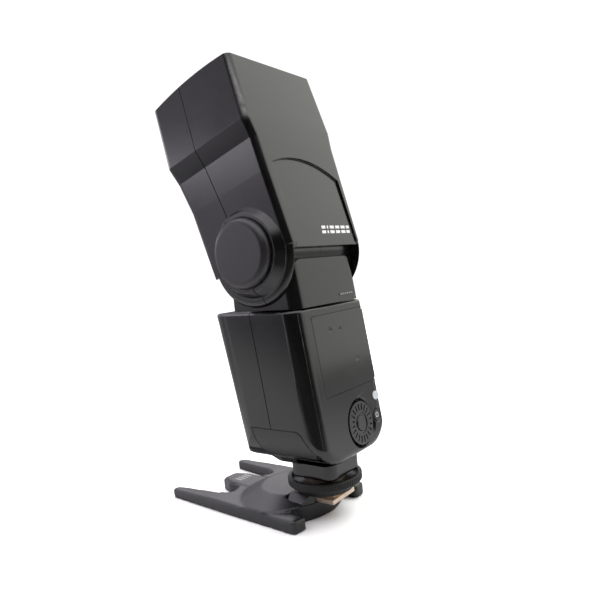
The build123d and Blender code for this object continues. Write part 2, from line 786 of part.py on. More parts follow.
def lens_bezel():
    """Frame that holds the lens, with slots behind it for the two pull-out cards."""
    bezel = box(-28.8, 28.8, -27.0, 21.6, 79.0, 85.4)
    bezel = fillet(bezel.edges().filter_by(Axis.Z), 2.2)
    bezel -= box(-28.42, 28.42, -26.72, 16.62, 83.38, 90)
    bezel -= box(-27.0, 27.0, -25.2, 15.0, 70, 90)
    bezel -= box(-26.3, 26.3, 17.5, 18.9, 70, 90)
    bezel -= box(-25.3, 25.3, 19.7, 21.0, 70, 90)
    return bezel


def wide_panel():
    """Clear wide-angle panel in its slot, with a pull lip at its end."""
    sheet = box(-26.0, 26.0, 17.7, 18.7, 42.0, 85.3)
    for i in range(6):
        z = 50.0 + 5.0 * i
        sheet -= box(-24.0, 24.0, 18.45, 19.0, z, z + 1.0)
    return sheet


def bounce_card():
    card = box(-25.0, 25.0, 19.9, 20.8, 40.0, 85.3)
    return card


def reflector():
    """Bright trough around the tube, widening towards the lens."""
    def trough(grow):
        return loft([head_outline(21.0 + grow, -9.0 - grow, 4.0 + grow, 30.0 - grow, 2.0),
                     head_outline(24.2 + grow, -15.5 - grow, 11.0 + grow, 52.0, 2.0)])
    outer = trough(0.8)
    return outer - trough(0.0) - rod_x(-40, 40, -3.0, 34.0, 3.45)


def flash_tube():
    glass = rod_x(-21.5, 21.5, -3.0, 34.0, 2.2)
    return glass - rod_x(-20.5, 20.5, -3.0, 34.0, 1.6)


def tube_holders():
    """Rubber end boots that hold the tube in the reflector."""
    boots = []
    for side in (-1, 1):
        boot = rod_x(min(side * 21.5, side * 25.4), max(side * 21.5, side * 25.4), -3.0, 34.0, 3.4)
        boots.append(boot)
    return boots


def zoom_carriage():
    """Moving bracket behind the reflector, with eyes for the rods and the screw."""
    bracket = box(-22.0, 22.0, -22.0, 8.0, 26.6, 29.1)
    for side in (-1, 1):
        bracket -= rod_z(side * rod_side, rod_row, 20, 35, 1.56)
    return bracket - rod_z(screw_side, rod_row, 20, 35, 1.85)


def guide_rods():
    return [rod_z(side * rod_side, rod_row, 23.0, 78.9, 1.5) for side in (-1, 1)]


def lead_screw():
    """Coarse-thread screw turned by the zoom motor."""
    screw = rod_z(screw_side, rod_row, 23.4, 65.9, 1.3)
    for i in range(29):
        screw += rod_z(screw_side, rod_row, 24.6 + 1.4 * i, 25.2 + 1.4 * i, 1.75)
    return screw


def zoom_motor():
    """Small stepper at the screw's far end, under the bezel frame."""
    return rod_z(screw_side, rod_row, 66.0, 78.6, 2.7)


def head_board():
    """Trigger circuit behind the reflector."""
    return box(-20.0, 20.0, 12.8, 14.2, 24.0, 46.0)


def build_head():
    rear_shell, front_shell = head_shells()
    pieces = {
        "head_rear_shell": rear_shell,
        "head_front_shell": front_shell,
        "tilt_cap_right": tilt_cap(1),
        "tilt_cap_left": tilt_cap(-1),
        "tilt_axles": tilt_axles(),
        "fresnel_lens": fresnel_lens(),
        "lens_bezel": lens_bezel(),
        "wide_panel": wide_panel(),
        "bounce_card": bounce_card(),
        "reflector": reflector(),
        "flash_tube": flash_tube(),
        "tube_holders": tube_holders(),
        "zoom_carriage": zoom_carriage(),
        "guide_rods": guide_rods(),
        "lead_screw": lead_screw(),
        "zoom_motor": zoom_motor(),
        "head_board": head_board(),
    }
    for name, piece in pieces.items():
        if isinstance(piece, list):
            save(name, [head_frame() * solid for solid in piece])
        else:
            save(name, head_frame() * piece)


def build_stand():
    """The stand is made square and then turned about the ring's axis."""
    turn = Rot(Z=stand_yaw)
    save("stand_base", turn * stand_base())
    save("stand_shoe", turn * stand_shoe())
    save("stand_springs", [turn * strip for strip in stand_springs()])
    save("stand_bush", turn * stand_bush())


def build_foot():
    save("foot_plate", foot_plate())
    save("foot_contacts", foot_contacts())
    save("foot_block", foot_block())
    save("lock_ring", lock_ring())
    save("lock_pin", lock_pin())


def build_body():
    front, rear, panel = housing_shells()
    save("body_front_shell", screw_boss(front, -13.0))
    save("body_rear_shell", screw_boss(rear, 14.0))
    save("control_panel", panel)
    save("swivel_bearing", swivel_bearing())
    save("display_window", display_window())
    save("display_module", display_module())
    save("selector_dial", selector_dial())
    save("set_button", set_button())
    save("test_button", test_button())
    save("power_button", power_button())
    save("control_board", control_board())
    save("terminal_cover", terminal_cover())
    save("socket_block", socket_block())
    save("socket_contacts", socket_contacts())
    save("battery_magazine", battery_magazine())
    save("battery_cells", battery_cells())
    save("battery_contacts", battery_contacts())
    save("magazine_guide", magazine_guide())
    save("main_capacitor", main_capacitor())
    save("main_board", main_board())
    save("transformer_core", transformer())
    save("transformer_winding", transformer_winding())
    save("assist_window", assist_window())
    save("assist_lamps", assist_lamps())
    save("body_screws", body_screws())


def build_neck():
    save("neck_base", neck_base())
    save("swivel_clip", swivel_clip())
    save("neck_cover", neck_cover())
    save("neck_core", neck_core())
    save("barrel_right", barrel_half_shell(1))
    save("barrel_left", barrel_half_shell(-1))
    save("detent_plate", detent_plate())


build_stand()
build_foot()
build_body()
build_neck()
build_head()

os.makedirs("parts", exist_ok=True)
for name, shape in NODES.items():
    export_step(shape, f"parts/{name}.step")
print(len(NODES), "nodes")
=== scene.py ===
import json
import math

import bmesh
import bpy
from mathutils import Matrix, Vector


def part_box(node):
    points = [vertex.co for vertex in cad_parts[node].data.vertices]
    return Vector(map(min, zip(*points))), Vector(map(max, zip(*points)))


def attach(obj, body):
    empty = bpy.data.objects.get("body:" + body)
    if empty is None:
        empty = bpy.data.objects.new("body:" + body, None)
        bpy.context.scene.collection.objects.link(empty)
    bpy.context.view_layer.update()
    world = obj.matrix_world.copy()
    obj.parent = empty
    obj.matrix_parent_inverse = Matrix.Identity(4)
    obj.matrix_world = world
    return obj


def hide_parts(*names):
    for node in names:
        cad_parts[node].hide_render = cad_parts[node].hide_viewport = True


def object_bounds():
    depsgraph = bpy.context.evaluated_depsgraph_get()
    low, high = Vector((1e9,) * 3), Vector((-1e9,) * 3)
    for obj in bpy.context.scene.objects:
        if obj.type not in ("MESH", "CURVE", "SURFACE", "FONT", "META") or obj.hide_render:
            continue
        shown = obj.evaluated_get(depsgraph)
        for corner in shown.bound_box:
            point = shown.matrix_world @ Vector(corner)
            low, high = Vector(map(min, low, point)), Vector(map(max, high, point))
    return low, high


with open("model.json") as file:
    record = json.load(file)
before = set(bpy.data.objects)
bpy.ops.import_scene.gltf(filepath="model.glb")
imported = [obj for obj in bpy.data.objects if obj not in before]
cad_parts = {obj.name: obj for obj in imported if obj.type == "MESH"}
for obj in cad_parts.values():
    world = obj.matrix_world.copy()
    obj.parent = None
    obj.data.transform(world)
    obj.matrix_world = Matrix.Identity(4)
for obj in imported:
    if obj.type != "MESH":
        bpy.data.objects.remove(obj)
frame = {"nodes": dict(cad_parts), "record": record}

CAD_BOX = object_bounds()
MM = 0.001

# ------------------------------------------------------------------ places that the frame's faces share
LEAN = math.radians(6.75)                    # the control panel leans this far from upright, towards -Y
PANEL_BACK, PANEL_FOOT = 24.9, 10.0          # the panel's face is at this y where z is this; mm
PANEL_OUT = Vector((0, math.cos(LEAN), math.sin(LEAN)))
PANEL_UP = Vector((0, -math.sin(LEAN), math.cos(LEAN)))

TILT = math.radians(15.0)                    # the head's lean at rest, towards -Y
PIVOT = Vector((0, -8.8, 130.2)) * MM        # the middle of the head's tilt axis
HEAD_BACK = Vector((0, math.cos(TILT), math.sin(TILT)))
HEAD_UP = Vector((0, -math.sin(TILT), math.cos(TILT)))

STAND_TURN = Matrix.Rotation(math.radians(-4.0), 3, "Z")     # the stand is turned a little under the flash
LEFT = Vector((-1, 0, 0))
UP = Vector((0, 0, 1))


def panel_point(x, z):
    """A point of the leaning control panel's face; millimetres in, metres out."""
    return Vector((x, PANEL_BACK - (z - PANEL_FOOT) * math.tan(LEAN), z)) * MM


def linked(name, data):
    """A new object that shows this mesh, camera or light in the scene."""
    made = bpy.data.objects.new(name, data)
    bpy.context.scene.collection.objects.link(made)
    return made


# ------------------------------------------------------------------ camera
AZIMUTH, ELEVATION, ROLL = 127.49, 3.08, -5.63      # degrees
DISTANCE, SIDE_SHIFT, AIM_HEIGHT = 0.27877, -0.00378, 0.10593
LENS, SENSOR = 34.44, 36.0
CLIP_START, CLIP_END = 0.01, 20.0


def place_camera():
    """Sets up the camera, and returns the directions towards it and to its right."""
    azimuth, elevation, roll = (math.radians(v) for v in (AZIMUTH, ELEVATION, ROLL))
    back = Vector((math.sin(azimuth) * math.cos(elevation), -math.cos(azimuth) * math.cos(elevation),
                   math.sin(elevation)))
    right = (-back).cross(UP).normalized()
    up = right.cross(-back)
    turned_right = right * math.cos(roll) + up * math.sin(roll)
    turned_up = up * math.cos(roll) - right * math.sin(roll)
    place = right * SIDE_SHIFT + UP * AIM_HEIGHT + back * DISTANCE
    axes = Matrix((turned_right, turned_up, back)).transposed()
    data = bpy.data.cameras.new("camera")
    data.lens = LENS
    data.sensor_width = SENSOR
    data.clip_start = CLIP_START
    data.clip_end = CLIP_END
    camera = linked("camera", data)
    camera.matrix_world = Matrix.Translation(place) @ axes.to_4x4()
    bpy.context.scene.camera = camera
    return back, right


TO_CAMERA, RIGHTWARDS = place_camera()


# ------------------------------------------------------------------ node helpers
class Graph:
    """A small shorthand for building a node tree."""

    def __init__(self, tree):
        self.tree = tree
        tree.nodes.clear()

    def add(self, kind, *values, **settings):
        """Adds a node; values go to its inputs in order, a socket is linked, None is skipped."""
        node = self.tree.nodes.new(kind)
        named = settings.pop("sockets", {})
        for key, value in settings.items():
            setattr(node, key, value)
        for place, value in list(enumerate(values)) + list(named.items()):
            if value is None:
                continue
            if isinstance(value, bpy.types.NodeSocket):
                self.tree.links.new(value, node.inputs[place])
            else:
                node.inputs[place].default_value = value
        return node

    def math(self, operation, a, b=None, clamp=False):
        return self.add("ShaderNodeMath", a, b, operation=operation, use_clamp=clamp).outputs[0]

    def spread(self, value, low, high, out_low=0.0, out_high=1.0, smooth=False):
        """Maps low..high to out_low..out_high, held at the ends."""
        node = self.add("ShaderNodeMapRange", value, low, high, out_low, out_high,
                        interpolation_type="SMOOTHSTEP" if smooth else "LINEAR")
        return node.outputs[0]

    def mix(self, share, a, b, blend="MIX"):
        """The colours a and b, blended; at a share of 0 it is a."""
        node = self.add("ShaderNodeMix", data_type="RGBA", blend_type=blend, sockets={0: share, 6: a, 7: b})
        return node.outputs[2]

    def along(self, where, direction):
        """How far a point or direction lies along another direction."""
        node = self.add("ShaderNodeVectorMath", where, tuple(direction), operation="DOT_PRODUCT")
        return node.outputs["Value"]

    def noise(self, where, scale, detail=2.0, roughness=0.5):
        node = self.add("ShaderNodeTexNoise", sockets={
            "Vector": where, "Scale": scale, "Detail": detail, "Roughness": roughness})
        return node.outputs[0]

    def bump(self, strength, depth, height, normal):
        node = self.add("ShaderNodeBump", sockets={
            "Strength": strength, "Distance": depth, "Height": height, "Normal": normal})
        return node.outputs[0]

    def soft_normal(self, radius):
        """The surface's normal with its edges rounded over; mm."""
        return self.add("ShaderNodeBevel", radius * MM, samples=4).outputs[0]

    def surface(self, **inputs):
        shader = self.add("ShaderNodeBsdfPrincipled", sockets=inputs)
        self.add("ShaderNodeOutputMaterial", shader.outputs[0])


def material(name):
    """A new material, its empty graph, and the object coordinates that its patterns use."""
    made = bpy.data.materials.new(name)
    made.use_nodes = True
    graph = Graph(made.node_tree)
    where = graph.add("ShaderNodeTexCoord").outputs["Object"]
    return made, graph, where


def grey(value, tint=(1.0, 1.0, 1.0)):
    return (value * tint[0], value * tint[1], value * tint[2], 1.0)


# ------------------------------------------------------------------ dents, hair lines painted dark for dirt and shade, and painted corner highlights
# each dent's x, z and radius in mm, and its share of the full depth
DENTS = ((5.5, 91.7, 1.5, 1.0), (-2.9, 91.0, 1.3, 0.8), (-12.7, 75.2, 1.6, 0.7))
HEAD_SEAM = -9.75                            # the head's hair line near the lens, rearward from the pivot; mm
HEAD_SEAM_BENDS = (54.3, 18.7, -30.0)        # it bends at these lensward distances from the pivot
HEAD_SEAM_SHIFTS = (4.3, 6.5)                # and moves rearward by this much from each to the next
HOUSING_SEAM = 1.5                           # the housing's is this far towards -Y at the panel's foot; mm
HAIR_FULL, HAIR_GONE = 0.16, 0.24            # half widths of a hair line; mm


def dents(g, where):
    """The small pressed-in marks in the display film, as a height."""
    total = None
    for x, z, wide, deep in DENTS:
        centre = tuple(panel_point(x, z))
        away = g.add("ShaderNodeVectorMath", where, centre, operation="DISTANCE").outputs["Value"]
        hollow = g.spread(away, 0.0, wide * MM, -deep, 0.0, smooth=True)
        total = hollow if total is None else g.math("ADD", total, hollow)
    return total


def head_axes(g, where):
    """Sideways, rearward and lensward distances in the head's own frame, in mm."""
    parts = g.add("ShaderNodeSeparateXYZ", where).outputs
    y = g.math("MULTIPLY", g.math("SUBTRACT", parts[1], PIVOT.y), 1 / MM)
    z = g.math("MULTIPLY", g.math("SUBTRACT", parts[2], PIVOT.z), 1 / MM)
    back = g.math("ADD", g.math("MULTIPLY", y, math.cos(TILT)), g.math("MULTIPLY", z, math.sin(TILT)))
    lensward = g.math("SUBTRACT", g.math("MULTIPLY", z, math.cos(TILT)),
                      g.math("MULTIPLY", y, math.sin(TILT)))
    return g.math("MULTIPLY", parts[0], 1 / MM), back, lensward


def from_head_seam(g, where):
    """The distance from the hair line between the head's two shells, in mm."""
    _, back, lensward = head_axes(g, where)
    shift = None
    for start, end, far in zip(HEAD_SEAM_BENDS[:-1], HEAD_SEAM_BENDS[1:], HEAD_SEAM_SHIFTS):
        moved = g.spread(lensward, start, end, 0.0, far)
        shift = moved if shift is None else g.math("ADD", shift, moved)
    return g.math("SUBTRACT", back, g.math("ADD", shift, HEAD_SEAM))


def from_housing_seam(g, where):
    """The distance from the leaning hair line between the housing's two shells, in mm."""
    parts = g.add("ShaderNodeSeparateXYZ", where).outputs
    lean = g.math("MULTIPLY", g.math("SUBTRACT", parts[2], PANEL_FOOT * MM), math.tan(LEAN))
    away = g.math("ADD", g.math("ADD", parts[1], lean), HOUSING_SEAM * MM)
    return g.math("MULTIPLY", away, 1 / MM)


SEAMS = {"head": from_head_seam, "housing": from_housing_seam}


def seam_line(g, where, part):
    """1 at the hair line between two shells, which is painted near-black for dirt and for the shade in the
    gap, and reflects no light.
    """
    away = SEAMS[part](g, where)
    return g.spread(g.math("ABSOLUTE", away), HAIR_FULL, HAIR_GONE, 1.0, 0.0)


def painted_corner_highlight(g, where):
    """The head's rear corners between the flare and the lens, with a grey painted highlight laid on in
    patches.
    """
    side, back, lensward = head_axes(g, where)
    beside = g.spread(g.math("ABSOLUTE", side), 29.6, 30.9)
    behind = g.spread(back, 21.6, 23.4)
    above = g.spread(lensward, 53.0, 58.0)
    corner = g.math("MULTIPLY", g.math("MULTIPLY", beside, behind), above)
    patchy = g.spread(g.noise(where, 240.0, 5.0, 0.7), 0.36, 0.6, 0.25, 1.0)
    return g.math("MULTIPLY", corner, patchy)


# ------------------------------------------------------------------ materials
DUST = (0.16, 0.16, 0.155, 1.0)
WORN = (0.26, 0.26, 0.26, 1.0)
# painted highlight: the grey that stands for the light caught by the head's rounded rear corners
CORNER_HIGHLIGHT = (0.13, 0.13, 0.127, 1.0)
CORNER_HIGHLIGHT_SHARE = 0.9
# painted shade and dirt: the near-black of the hair lines between shells
SEAM_DIRT_AND_SHADE = (0.001, 0.001, 0.001, 1.0)
TARNISH = (0.25, 0.2, 0.15, 1.0)
GRAIN_SIZE, WORN_WIDTH, METAL_EDGE = 0.35, 0.35, 0.15       # mm
GRAIN_DEPTH, DENT_DEPTH = 0.03, 0.5                         # mm


def specks(g, where, dust):
    """Dust and pin-prick specks: a dot in about one cell in fourteen."""
    cells = g.add("ShaderNodeTexVoronoi", sockets={"Vector": where, "Scale": 260.0, "Randomness": 1.0})
    chance = g.add("ShaderNodeSeparateColor", cells.outputs["Color"]).outputs[0]
    dot = g.math("LESS_THAN", cells.outputs["Distance"], g.spread(chance, 0.93, 1.0, 0.0, 0.05))
    return g.math("MULTIPLY", dot, dust)


def rubbed_edges(g, where, wear):
    """How far the edges are rubbed: where the surface bends, broken up and in patches."""
    plain = g.add("ShaderNodeNewGeometry").outputs["Normal"]
    bend = g.add("ShaderNodeVectorMath", g.soft_normal(WORN_WIDTH), plain, operation="DOT_PRODUCT")
    edge = g.spread(bend.outputs["Value"], 0.995, 0.86)
    broken = g.spread(g.noise(where, 520.0, 5.0, 0.7), 0.46, 0.62)
    patch = g.spread(g.noise(where, 55.0, 3.0, 0.6), 0.42, 0.66)
    return g.math("MULTIPLY", g.math("MULTIPLY", edge, broken), g.math("MULTIPLY", patch, wear), clamp=True)


def plastic(name, colour, rough=(0.15, 0.22), grain=0.16, wear=0.0, dust=0.5, specular=0.7, coat=0.0,
            smudge=1.4, round_edge=0.25, dented=False, clear=0.0, seam=None):
    """Moulded plastic: faint cloudiness, grain, dust specks, rubbed edges. round_edge is in mm."""
    made, g, where = material(name)
    cloud = g.noise(where, 38.0, 4.0, 0.6)
    fine = g.noise(where, 420.0, 3.0, 0.6)
    smudged = tuple(min(1.0, c * smudge) for c in colour[:3]) + (1.0,)
    base = g.mix(g.spread(cloud, 0.3, 0.7), colour, smudged)
    base = g.mix(specks(g, where, dust), base, DUST)
    base = g.mix(rubbed_edges(g, where, wear), base, WORN)
    # the head's rear corners get a painted highlight in their base colour
    if seam == "head":
        base = g.mix(g.math("MULTIPLY", painted_corner_highlight(g, where), CORNER_HIGHLIGHT_SHARE), base, CORNER_HIGHLIGHT)
    # the hair line is painted near-black with its reflection taken away, for dirt and for the shade in the
    # gap
    if seam:
        gap = seam_line(g, where, seam)
        base = g.mix(gap, base, SEAM_DIRT_AND_SHADE)
        specular = g.spread(gap, 0.0, 1.0, specular, 0.0)
    normal = g.soft_normal(round_edge)
    if dented:
        normal = g.bump(1.0, DENT_DEPTH * MM, dents(g, where), normal)
    normal = g.bump(grain, GRAIN_DEPTH * MM, g.noise(where, 1 / (GRAIN_SIZE * MM)), normal)
    dulled = g.math("ADD", g.math("MULTIPLY", cloud, 0.6), g.math("MULTIPLY", fine, 0.4))
    g.surface(**{"Base Color": base, "Roughness": g.spread(dulled, 0.35, 0.65, *rough), "Normal": normal,
                 "Specular IOR Level": specular, "Coat Weight": coat, "Coat Roughness": 0.18,
                 "Transmission Weight": clear})
    return made


def metal(name, colour, rough=(0.22, 0.4), stretch=(1.0, 1.0, 40.0), amount=0.35):
    """Worked metal with fine directional lines and patchy tarnish."""
    made, g, where = material(name)
    lined = g.add("ShaderNodeMapping", where, None, None, stretch)
    lines = g.noise(lined.outputs[0], 300.0, 3.0, 0.6)
    patch = g.noise(where, 150.0, 4.0, 0.6)
    base = g.mix(g.spread(patch, 0.4, 0.75, 0.0, amount), colour, TARNISH)
    normal = g.bump(0.25, GRAIN_DEPTH * MM, lines, g.soft_normal(METAL_EDGE))
    g.surface(**{"Base Color": base, "Roughness": g.spread(lines, 0.3, 0.7, *rough), "Normal": normal,
                 "Metallic": 1.0})
    return made


FINISHES = {
    "body_plastic": plastic("satin_black", grey(0.0032, (1.0, 0.98, 1.02)), wear=1.1, round_edge=0.4),
    "panel_plastic": plastic("satin_black_panel", grey(0.003), wear=0.6),
    "head": plastic("satin_black_head", grey(0.003, (0.98, 0.98, 1.0)), wear=1.1, round_edge=0.4,
                    seam="head"),
    "housing": plastic("satin_black_housing", grey(0.0028, (1.0, 0.98, 1.02)), rough=(0.12, 0.18), wear=1.0,
                       round_edge=0.4, seam="housing"),
    "cap_plastic": plastic("satin_black_cap", grey(0.009, (1.0, 0.9, 1.04)), rough=(0.34, 0.44), wear=0.7),
    "stand_plastic": plastic("stand_black", grey(0.008, (0.97, 0.98, 1.05)), rough=(0.3, 0.4), wear=0.8),
    "bearing_plastic": plastic("matt_black", grey(0.005), rough=(0.5, 0.62), specular=0.3),
    "ring_plastic": plastic("ring_black", grey(0.004), rough=(0.36, 0.5), wear=0.3, specular=0.4),
    "dial_plastic": plastic("dial_black", grey(0.010), rough=(0.2, 0.3), grain=0.1),
    "soft_rubber": plastic("rubber_black", grey(0.010, (1.02, 0.99, 0.96)), rough=(0.42, 0.52), grain=0.4),
    "window_film": plastic("display_film", grey(0.006), rough=(0.11, 0.16), grain=0.08, dust=0.2,
                           dented=True),
    "lamp_button": plastic("lamp_button_white", grey(0.34, (0.92, 0.96, 1.05)), rough=(0.25, 0.35),
                           specular=0.5),
    "white_card": plastic("card_white", grey(0.8), rough=(0.5, 0.6), specular=0.4, smudge=1.05),
    "cell_jacket": plastic("cell_sleeve", (0.06, 0.13, 0.24, 1.0), rough=(0.25, 0.4), specular=0.5),
    "capacitor_sleeve": plastic("capacitor_black", grey(0.02), rough=(0.3, 0.4), specular=0.5),
    "ferrite": plastic("ferrite_grey", grey(0.06), rough=(0.6, 0.75), specular=0.4),
    "circuit_board": plastic("board_green", (0.012, 0.09, 0.035, 1.0), rough=(0.3, 0.45), specular=0.5),
    "red_window": plastic("window_red", (0.13, 0.006, 0.008, 1.0), rough=(0.08, 0.14), grain=0.02, coat=0.5),
    "led": plastic("lamp_clear_red", (0.75, 0.2, 0.16, 1.0), rough=(0.1, 0.2), grain=0.02, specular=0.5),
    "display_glass": plastic("display_dark", (0.03, 0.035, 0.03, 1.0), rough=(0.08, 0.14), grain=0.02),
    "clear_lens": plastic("lens_clear", (0.86, 0.89, 0.89, 1.0), rough=(0.05, 0.1), grain=0.02, dust=0.1,
                          specular=0.5, clear=0.85, smudge=1.05),
    "tube_glass": plastic("tube_clear", (0.85, 0.86, 0.86, 1.0), rough=(0.05, 0.1), grain=0.02,
                          specular=0.5, clear=0.7),
    "spring_steel": metal("steel", (0.56, 0.56, 0.57, 1.0)),
    "brass": metal("brass", (0.7, 0.5, 0.25, 1.0)),
    "plated_metal": metal("plate_metal", (0.86, 0.70, 0.55, 1.0), rough=(0.3, 0.45), amount=0.2),
    "gold_contact": metal("gold", (0.9, 0.65, 0.28, 1.0)),
    "winding": metal("copper_wire", (0.6, 0.28, 0.12, 1.0), stretch=(1.0, 40.0, 1.0)),
    "reflector_foil": metal("reflector", (0.9, 0.9, 0.92, 1.0), rough=(0.05, 0.12)),
    "motor_can": metal("motor_can", (0.7, 0.7, 0.71, 1.0), rough=(0.12, 0.25)),
}
SLOT_OF = {part["node"]: part["material_slot"] for part in frame["record"]["subparts"]}


def finish_of(node):
    """The node's finish: its slot's, or for the head's and housing's shells the one that has their seam."""
    slot = SLOT_OF[node]
    if slot == "body_plastic" and node.startswith("head"):
        return FINISHES["head"]
    if slot == "body_plastic" and node.startswith("body"):
        return FINISHES["housing"]
    return FINISHES[slot]


def dress_nodes():
    """Gives every node of the frame its finish."""
    for name, node in frame["nodes"].items():
        if not node.material_slots:
            node.data.materials.append(finish_of(name))
        for place in node.material_slots:
            place.material = finish_of(name)


dress_nodes()


# ------------------------------------------------------------------ mesh helpers
def mesh_data(name, mesh):
    """The finished mesh of a bmesh, which is freed."""
    data = bpy.data.meshes.new(name)
    mesh.to_mesh(data)
    mesh.free()
    return data


def wall(mesh, near, far):
    """Faces between two rings of as many vertices."""
    for i in range(len(near)):
        j = (i + 1) % len(near)
        mesh.faces.new((near[i], near[j], far[j], far[i]))


def draft_of(node):
    """A passing object with a copy of the node's mesh, to put modifiers on."""
    return linked("draft", frame["nodes"][node].data.copy())


def settled(draft, name, finish):
    """The draft's mesh after its modifiers, in one finish; the draft is removed."""
    bpy.context.view_layer.update()
    shape = bpy.data.meshes.new_from_object(draft.evaluated_get(bpy.context.evaluated_depsgraph_get()))
    bpy.data.objects.remove(draft)
    shape.name = name
    shape.materials.clear()
    shape.materials.append(finish)
    for face in shape.polygons:
        face.material_index = 0
    return shape


# ------------------------------------------------------------------ the stand, moulded in one smooth sweep
STAND_VOXEL = 0.55                           # mm
STAND_SOFTENING, STAND_ROUNDS = 0.6, 9


def smooth_stand():
    """The stand's base with its creases blended as a moulding's are, kept inside the node's box."""
    low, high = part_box("stand_base")
    draft = draft_of("stand_base")
    remesh = draft.modifiers.new("remesh", "REMESH")
    remesh.mode = "VOXEL"
    remesh.voxel_size = STAND_VOXEL * MM
    soften = draft.modifiers.new("soften", "SMOOTH")
    soften.factor = STAND_SOFTENING
    soften.iterations = STAND_ROUNDS
    shape = settled(draft, "stand_moulding", FINISHES["stand_plastic"])
    for vertex in shape.vertices:
        for axis in range(3):
            vertex.co[axis] = min(max(vertex.co[axis], low[axis]), high[axis])
    for face in shape.polygons:
        face.use_smooth = True
    piece = linked("stand_moulding", shape)
    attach(piece, "stand")
    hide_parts("stand_base")


smooth_stand()


# ------------------------------------------------------------------ the housing's rear, rounded
BLOCK_HALF, BLOCK_LOW, BLOCK_HIGH = 29.4, 31.3, 140.0       # half width, lowest and highest; mm
BLOCK_FRONT = -40.0                                         # in front of everything that it trims; mm
CORNER_RADIUS, RIM_RADIUS = 17.0, 4.2                       # the lower corners and the rear rim; mm
CORNER_STEPS, RIM_STEPS = 24, 8


def block_outline(inset):
    """The block's outline seen from behind, its sides drawn in by the inset; (x, z) in mm."""
    centre_x, centre_z = BLOCK_HALF - CORNER_RADIUS, BLOCK_LOW + CORNER_RADIUS
    radius = CORNER_RADIUS - inset
    outline = []
    for side in (1, -1):
        for i in range(CORNER_STEPS + 1):
            arc = math.radians(90.0 * i / CORNER_STEPS)
            x, z = (math.cos(arc), -math.sin(arc)) if side > 0 else (-math.sin(arc), -math.cos(arc))
            outline.append((side * centre_x + radius * x, centre_z + radius * z))
    return outline + [(-BLOCK_HALF + inset, BLOCK_HIGH), (BLOCK_HALF - inset, BLOCK_HIGH)]


def rounded_block():
    """The space inside the housing's outline as seen from behind, its rear rim rounded."""
    slices = [(0.0, BLOCK_FRONT)]            # each slice's inset and distance back
    for k in range(RIM_STEPS + 1):
        turn = math.radians(90.0 * k / RIM_STEPS)
        slices.append((RIM_RADIUS * (1.0 - math.cos(turn)),
                       PANEL_BACK - RIM_RADIUS + RIM_RADIUS * math.sin(turn)))
    mesh = bmesh.new()
    rings = []
    for inset, back in slices:
        rings.append([mesh.verts.new(Vector((x, back - (z - PANEL_FOOT) * math.tan(LEAN), z)) * MM)
                      for x, z in block_outline(inset)])
    for near, far in zip(rings[:-1], rings[1:]):
        wall(mesh, near, far)
    mesh.faces.new(list(reversed(rings[0])))
    mesh.faces.new(rings[-1])
    bmesh.ops.recalc_face_normals(mesh, faces=mesh.faces)
    return linked("rounded_block", mesh_data("rounded_block", mesh))


def rounded_rear():
    """The control panel and the rear shell, with their lower rear edges rounded off."""
    block = rounded_block()
    for node in ("control_panel", "body_rear_shell"):
        draft = draft_of(node)
        trim = draft.modifiers.new("trim", "BOOLEAN")
        trim.operation = "INTERSECT"
        trim.solver = "EXACT"
        trim.object = block
        piece = linked(node + "_rounded", settled(draft, node + "_rounded", finish_of(node)))
        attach(piece, "housing")
        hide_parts(node)
    bpy.data.objects.remove(block)


rounded_rear()


# ------------------------------------------------------------------ printed and moulded marks
PAINT = plastic("mark_grey", grey(0.55), rough=(0.4, 0.5), specular=0.5, dust=0.2, smudge=1.15)
DIM_PAINT = plastic("mark_dim", grey(0.20), rough=(0.4, 0.5), specular=0.5, dust=0.2, smudge=1.2)
MARK_ROOT = -0.03                            # marks start this far inside the face; mm


def mark(name, body, origin, across, upwards, shapes, finish, height):
    """Thin raised shapes on a flat face: each shape is a list of (across, up) points in mm."""
    outward = across.cross(upwards)
    mesh = bmesh.new()
    for shape in shapes:
        low, high = ([mesh.verts.new(origin + (across * x + upwards * y + outward * lift) * MM)
                      for x, y in shape] for lift in (MARK_ROOT, height))
        mesh.faces.new(high)
        mesh.faces.new(list(reversed(low)))
        wall(mesh, low, high)
    bmesh.ops.recalc_face_normals(mesh, faces=mesh.faces)
    data = mesh_data(name, mesh)
    data.materials.append(finish)
    piece = linked(name, data)
    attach(piece, body)


def oblong(x, y, wide, tall, lean=0.0):
    """A block from its lower corner; its top is moved across by lean times its height."""
    return [(x, y), (x + wide, y), (x + wide + tall * lean, y + tall), (x + tall * lean, y + tall)]


def arc_blocks(outer, inner, start, end, count):
    """A circular band cut into short blocks, from start to end degrees."""
    blocks = []
    for i in range(count):
        a, b = (math.radians(start + (end - start) * k / count) for k in (i, i + 1))
        corners = ((inner, a), (outer, a), (outer, b), (inner, b))
        blocks.append([(radius * math.cos(turn), radius * math.sin(turn)) for radius, turn in corners])
    return blocks


def on_face(point, node, direction):
    """The point moved along the direction until it is level with the node's furthest point."""
    reach = max(vertex.co.dot(direction) for vertex in frame["nodes"][node].data.vertices)
    return point + direction * (reach - point.dot(direction))


def head_dashes():
    """Two rows of plain bars where the head carries lettering."""
    rear, rise, left = 23.1, 0.2, -1.6       # the rear face and the row's start, from the pivot; mm
    tall, second_row, lean = 1.5, 2.4, 0.25
    origin = PIVOT + (HEAD_BACK * rear + HEAD_UP * rise + LEFT * left) * MM
    bars = []
    for x, wide in ((0.0, 3.2), (4.4, 1.2), (6.8, 3.6), (11.6, 3.6), (16.4, 3.6), (21.0, 3.0)):
        bars.append(oblong(x, 0.0, wide, tall, lean))
        bars.append(oblong(x + second_row * lean, second_row, wide, tall, lean))
    mark("head_dashes", "head", origin, LEFT, HEAD_UP, bars, PAINT, 0.04)


